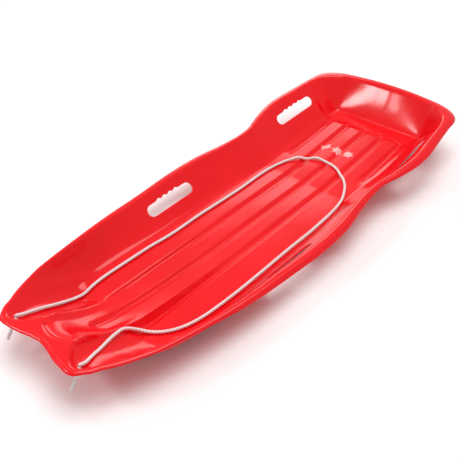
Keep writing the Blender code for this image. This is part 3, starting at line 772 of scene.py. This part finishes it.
def add_rim(bm, rim_loop):
    """Roll the sheet's free edge outwards and down, ring by ring."""
    origin, outward = {}, {}
    for edge in rim_loop:
        for vert in edge.verts:
            origin[vert] = vert.co.copy()
            outward.setdefault(vert, Vector((0.0, 0.0, 0.0)))
        along = (edge.verts[1].co - edge.verts[0].co).xy
        normal = Vector((along.y, -along.x, 0.0)).normalized()
        middle = (edge.verts[0].co + edge.verts[1].co) / 2
        if normal.dot(middle) < 0.0:
            normal.negate()
        for vert in edge.verts:
            outward[vert] += normal
    neighbours = {vert: [edge.other_vert(vert) for edge in vert.link_edges if edge.is_boundary]
                  for vert in origin}
    for _ in range(RIM_SMOOTHING):
        outward = {vert: outward[vert].normalized() * 2.0
                   + sum((outward[other].normalized() for other in neighbours[vert]),
                         Vector((0.0, 0.0, 0.0)))
                   for vert in outward}
    edges = list(rim_loop)
    lower = {vert: vert for vert in origin}
    for out_share, height_share in RIM_PROFILE:
        result = bmesh.ops.extrude_edge_only(bm, edges=edges)
        edges = [item for item in result["geom"] if isinstance(item, bmesh.types.BMEdge)]
        fresh = {item for item in result["geom"] if isinstance(item, bmesh.types.BMVert)}
        following = {}
        for base, current in lower.items():
            vert = next(edge.other_vert(current) for edge in current.link_edges
                        if edge.other_vert(current) in fresh)
            direction = outward[base].normalized()
            wide = rim_share(origin[base])
            vert.co = origin[base] + direction * (RIM_REACH * wide * out_share)
            vert.co.z += RIM_DROP * min(1.0, wide) * height_share
            following[base] = vert
        edges = [edge for edge in edges if all(vert in fresh for vert in edge.verts)]
        lower = following


def thicken(bm):
    """Add the underside, one wall thickness below the sheet, and close its edge."""
    sheet = bm.faces[:]
    free_edges = [edge for edge in bm.edges if edge.is_boundary]
    under = {}
    for vert in bm.verts[:]:
        lean = min(vert.normal.dot(face.normal) for face in vert.link_faces)
        depth = WALL / max(STEEPEST_LEAN, lean)
        under[vert] = bm.verts.new(vert.co - vert.normal * depth)
    for face in sheet:
        bm.faces.new([under[vert] for vert in reversed(face.verts)])
    for edge in free_edges:
        start, end = edge.verts
        bm.faces.new((start, end, under[end], under[start]))
    bmesh.ops.recalc_face_normals(bm, faces=bm.faces[:])
    for face in bm.faces:
        face.smooth = True


# %% Hand slots and rope holes
ARC_STEPS = 8             # round a slot's end
SCALLOP_STEPS = 5         # along one finger scallop
SLOT_FEEL_ALONG = 0.4     # of a slot's length, each way, where the wall's slope is felt
SLOT_FEEL_UP = 0.15       # of the wall's height, each way
SLOT_CUTTER_DEPTH = 0.06
HOLE_CUTTER_DEPTH = 0.024
SHARP_ANGLE = radians(50.0)   # edges of the slots and holes stay crisp


def slot_outline():
    """Outline of a hand slot: round ends, and finger scallops along its upper edge."""
    radius = SLOT_WIDTH / 2
    reach = SLOT_LENGTH / 2 - radius
    points = []
    for step in range(ARC_STEPS + 1):
        angle = -pi / 2 + pi * step / ARC_STEPS
        points.append((reach + radius * cos(angle), radius * sin(angle)))
    first_cusp = FINGER_COUNT * FINGER_PITCH / 2
    for finger in range(FINGER_COUNT):
        right = first_cusp - finger * FINGER_PITCH
        for step in range(0 if finger == 0 else 1, SCALLOP_STEPS + 1):
            share = step / SCALLOP_STEPS
            rise = FINGER_DEPTH * sin(pi * share)
            points.append((right - FINGER_PITCH * share, radius + rise))
    for step in range(ARC_STEPS + 1):
        angle = pi / 2 + pi * step / ARC_STEPS
        points.append((-reach + radius * cos(angle), radius * sin(angle)))
    return points


def wall_place(station, share):
    """Point part of the way up the right-hand wall, on its upper face."""
    edge = edge_half_width(station)
    foot = profile(FLOOR_FOOT, station) * FLOOR_SCALE
    top = rim_height(station)
    floor = floor_height(foot, station)
    x = foot + (edge - foot) * share ** (1.0 / profile(WALL_CURVE, station))
    return place(x, station, floor + (top - floor) * share)


def add_slot_cutter(bm, station, share, side):
    """Add one hand slot's outline to the cutter, square to the wall."""
    reach = SLOT_LENGTH / LENGTH_SCALE * SLOT_FEEL_ALONG
    forward = (wall_place(station + reach, share) - wall_place(station - reach, share))
    upward = (wall_place(station, share + SLOT_FEEL_UP)
              - wall_place(station, share - SLOT_FEEL_UP))
    forward.normalize()
    out = forward.cross(upward).normalized()
    up = out.cross(forward)
    mirror = Vector((side, 1.0, 1.0))
    forward, up = forward * mirror, up * mirror
    turn = Matrix((forward, up, forward.cross(up))).transposed().to_4x4()
    to_wall = Matrix.Translation(wall_place(station, share) * mirror) @ turn
    verts = [bm.verts.new(to_wall @ Vector((x, y, -SLOT_CUTTER_DEPTH / 2)))
             for x, y in slot_outline()]
    bottom = bm.faces.new(verts)
    result = bmesh.ops.extrude_face_region(bm, geom=[bottom])
    top = [item for item in result["geom"] if isinstance(item, bmesh.types.BMVert)]
    bmesh.ops.translate(bm, verts=top, vec=turn.to_3x3() @ Vector((0.0, 0.0, SLOT_CUTTER_DEPTH)))


def add_hole_cutter(bm, side):
    """Add one rope hole's round bar to the cutter."""
    centre, axis = hole_frame(side)
    turn = Vector((0.0, 0.0, 1.0)).rotation_difference(axis).to_matrix().to_4x4()
    bmesh.ops.create_cone(bm, cap_ends=True, segments=32, radius1=ROPE_HOLE_DIAMETER / 2,
                          radius2=ROPE_HOLE_DIAMETER / 2, depth=HOLE_CUTTER_DEPTH,
                          matrix=Matrix.Translation(centre) @ turn)


def object_from(bm, name):
    """Put a bmesh in the scene as an object."""
    mesh = bpy.data.meshes.new(name)
    bm.to_mesh(mesh)
    bm.free()
    item = bpy.data.objects.new(name, mesh)
    bpy.context.scene.collection.objects.link(item)
    return item


def cut_shell():
    """Cut the slots and holes, and keep the result as a plain mesh."""
    shell = object_from(shell_grid(), "sled_moulding")
    bm = bmesh.new()
    for _, station, share in SLOTS:
        for _, side in SIDES:
            add_slot_cutter(bm, station, share, side)
    for _, side in SIDES:
        add_hole_cutter(bm, side)
    bmesh.ops.recalc_face_normals(bm, faces=bm.faces[:])
    cutter = object_from(bm, "slot_cutter")
    modifier = shell.modifiers.new("slots", "BOOLEAN")
    modifier.operation = "DIFFERENCE"
    modifier.solver = "EXACT"
    modifier.object = cutter
    bpy.context.view_layer.update()
    evaluated = shell.evaluated_get(bpy.context.evaluated_depsgraph_get())
    mesh = bpy.data.meshes.new_from_object(evaluated)
    shell.modifiers.clear()
    shell.data = mesh
    bpy.data.objects.remove(cutter, do_unlink=True)
    mesh.set_sharp_from_angle(angle=SHARP_ANGLE)
    mesh.name = "sled_moulding"
    return shell


shell = cut_shell()
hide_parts("sled_shell")
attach(shell, "shell")

# %% [markdown]
# ## Red plastic
# Glossy moulded plastic: a deep red with a slight bloom of scuffs, fine flow waves from the
# mould and a hard shine. A row of pale snowflakes is printed on the seat.

# %% Red plastic
PRINT_STATION = 0.967
PRINT_MIDDLE = -0.012
FLAKE_PITCH = 0.034
FLAKE_COUNT = 3
FLAKE_RADIUS = 0.0145
FLAKE_LINE = 0.0011


def flake_mask(n):
    """1 on the lines of the printed snowflakes, 0 elsewhere."""
    split = n.tree.nodes.new("ShaderNodeSeparateXYZ")
    n.put(split.inputs[0], n.coords.outputs["Object"])
    across = n.math("SUBTRACT", split.outputs["X"], PRINT_MIDDLE)
    along = n.math("SUBTRACT", split.outputs["Y"], NOSE_Y + PRINT_STATION * LENGTH_SCALE)
    shifted = n.math("ADD", across, FLAKE_PITCH * (FLAKE_COUNT / 2 + 10))
    local = n.math("SUBTRACT", n.math("MODULO", shifted, FLAKE_PITCH), FLAKE_PITCH / 2)
    radius = n.math("SQRT", n.math("ADD", n.math("MULTIPLY", local, local),
                                   n.math("MULTIPLY", along, along)))
    turn = n.math("ARCTAN2", along, local)
    sixth = pi / 3
    lifted = n.math("ADD", turn, sixth / 2 + sixth * 6)
    off = n.math("SUBTRACT", n.math("MODULO", lifted, sixth), sixth / 2)
    u = n.math("MULTIPLY", radius, n.math("COSINE", off))
    v = n.math("ABSOLUTE", n.math("MULTIPLY", radius, n.math("SINE", off)))
    nearest = v
    for start, reach in ((0.30, 0.30), (0.55, 0.26)):
        along_arm = n.math("SUBTRACT", u, FLAKE_RADIUS * start)
        line = n.math("ABSOLUTE", n.math("SUBTRACT", n.math("MULTIPLY", along_arm, sin(sixth)),
                                         n.math("MULTIPLY", v, cos(sixth))))
        too_far = n.math("MAXIMUM", 0.0, n.math("SUBTRACT", v, FLAKE_RADIUS * reach))
        nearest = n.math("MINIMUM", nearest, n.math("ADD", line, too_far))
    ink = n.ramp(nearest, FLAKE_LINE * 0.5, FLAKE_LINE * 0.8, 1.0, 0.0)
    ink = n.math("MULTIPLY", ink, n.ramp(radius, FLAKE_RADIUS, FLAKE_RADIUS * 1.03, 1.0, 0.0))
    inside = n.math("LESS_THAN", n.math("ABSOLUTE", across), FLAKE_PITCH * FLAKE_COUNT / 2)
    geometry = n.tree.nodes.new("ShaderNodeNewGeometry")
    facing = n.tree.nodes.new("ShaderNodeSeparateXYZ")
    n.put(facing.inputs[0], geometry.outputs["Normal"])
    upward = n.math("GREATER_THAN", facing.outputs["Z"], 0.2)
    return n.math("MULTIPLY", n.math("MULTIPLY", ink, inside), upward)


def plastic_material():
    """Glossy red plastic with flow waves, scuffs and the printed snowflakes."""
    n = Nodes("red_plastic_look")
    place_on = n.coords.outputs["Object"]
    cloud = n.noise(place_on, 5.0, 3.0)
    speck = n.noise(place_on, 900.0, 2.0)
    colour = n.blend(n.ramp(cloud, 0.30, 0.70), (0.780, 0.0016, 0.0060, 1.0),
                     (0.850, 0.0028, 0.0085, 1.0))
    colour = n.blend(n.ramp(speck, 0.62, 0.80, 0.0, 0.25), colour, (0.80, 0.030, 0.035, 1.0))
    scuff = n.noise(n.stretch(place_on, (260.0, 14.0, 60.0)), 1.0, 5.0, 0.7)
    patches = n.noise(place_on, 9.0, 2.0)
    worn = n.math("MULTIPLY", n.ramp(scuff, 0.66, 0.80), n.ramp(patches, 0.52, 0.70))
    colour = n.blend(n.math("MULTIPLY", worn, 0.30), colour, (0.86, 0.16, 0.15, 1.0))
    flakes = flake_mask(n)
    wear = n.ramp(n.noise(place_on, 260.0, 4.0, 0.7), 0.30, 0.46, 0.35, 0.86)
    colour = n.blend(n.math("MULTIPLY", flakes, wear), colour, (0.93, 0.80, 0.78, 1.0))
    n.put(n.shader.inputs["Base Color"], colour)
    n.put(n.shader.inputs["Roughness"], n.math("ADD", n.ramp(cloud, 0.3, 0.7, 0.13, 0.19),
                                               n.math("MULTIPLY", worn, 0.25)))
    n.shader.inputs["Specular IOR Level"].default_value = 0.40
    n.shader.inputs["Subsurface Weight"].default_value = 0.06
    n.shader.inputs["Subsurface Radius"].default_value = (0.010, 0.002, 0.001)
    n.shader.inputs["Subsurface Scale"].default_value = 0.6
    n.shader.inputs["Coat Weight"].default_value = 0.10
    n.shader.inputs["Coat Roughness"].default_value = 0.06
    waves = n.noise(n.stretch(place_on, (16.0, 5.0, 16.0)), 1.0, 2.0)
    peel = n.noise(place_on, 420.0, 2.0)
    normal = n.bump(waves, 0.0016, 0.35)
    normal = n.bump(peel, 0.00006, 0.5, normal)
    n.put(n.shader.inputs["Normal"], normal)
    return n.material


shell.data.materials.clear()
shell.data.materials.append(plastic_material())

# %% [markdown]
# ## Floor and lights
# A plain pale floor that runs out of sight, a bright even surround and four soft boxes.

# %% Floor
FLOOR_HALF = 14.0
FLOOR_DROP = 0.0005       # just below the sled, so that the two never touch

bm = bmesh.new()
bmesh.ops.create_grid(bm, x_segments=1, y_segments=1, size=FLOOR_HALF)
floor = object_from(bm, "studio_floor")
floor.location.z = -FLOOR_DROP
floor_look = Nodes("studio_floor_look")
floor_look.shader.inputs["Base Color"].default_value = (0.93, 0.93, 0.93, 1.0)
floor_look.shader.inputs["Roughness"].default_value = 0.85
floor.data.materials.append(floor_look.material)

# %% Surround
world = bpy.data.worlds.new("studio")
world.use_nodes = True
world.node_tree.nodes["Background"].inputs["Color"].default_value = (1.0, 1.0, 1.0, 1.0)
world.node_tree.nodes["Background"].inputs["Strength"].default_value = 0.45
bpy.context.scene.world = world
bpy.context.scene.view_settings.view_transform = "Standard"


# %% Lights
def soft_box(name, location, target, width, height, power):
    """Add one rectangular studio light, turned towards a point."""
    data = bpy.data.lights.new(name, "AREA")
    data.shape = "RECTANGLE"
    data.size = width
    data.size_y = height
    data.energy = power
    light = bpy.data.objects.new(name, data)
    light.location = location
    light.rotation_euler = (Vector(target) - Vector(location)).to_track_quat("-Z", "Y").to_euler()
    bpy.context.scene.collection.objects.link(light)
    return light


soft_box("top_box", (0.3, 0.4, 4.0), (0.0, 0.2, 0.0), 3.2, 3.2, 118.0)
soft_box("panel_card", (-1.55, 1.85, 1.02), (-0.05, -0.1, 0.0), 1.2, 1.15, 9.0)
soft_box("seat_window", (-0.80, -1.42, 1.17), (-0.06, 0.56, 0.09), 0.35, 0.25, 6.0)
soft_box("left_strip", (-2.3, -0.5, 1.3), (0.0, 0.0, 0.0), 0.25, 1.6, 6.0)

# %% [markdown]
# ## Finish
# The scene is brought up to date.

# %% Finish
bpy.context.view_layer.update()
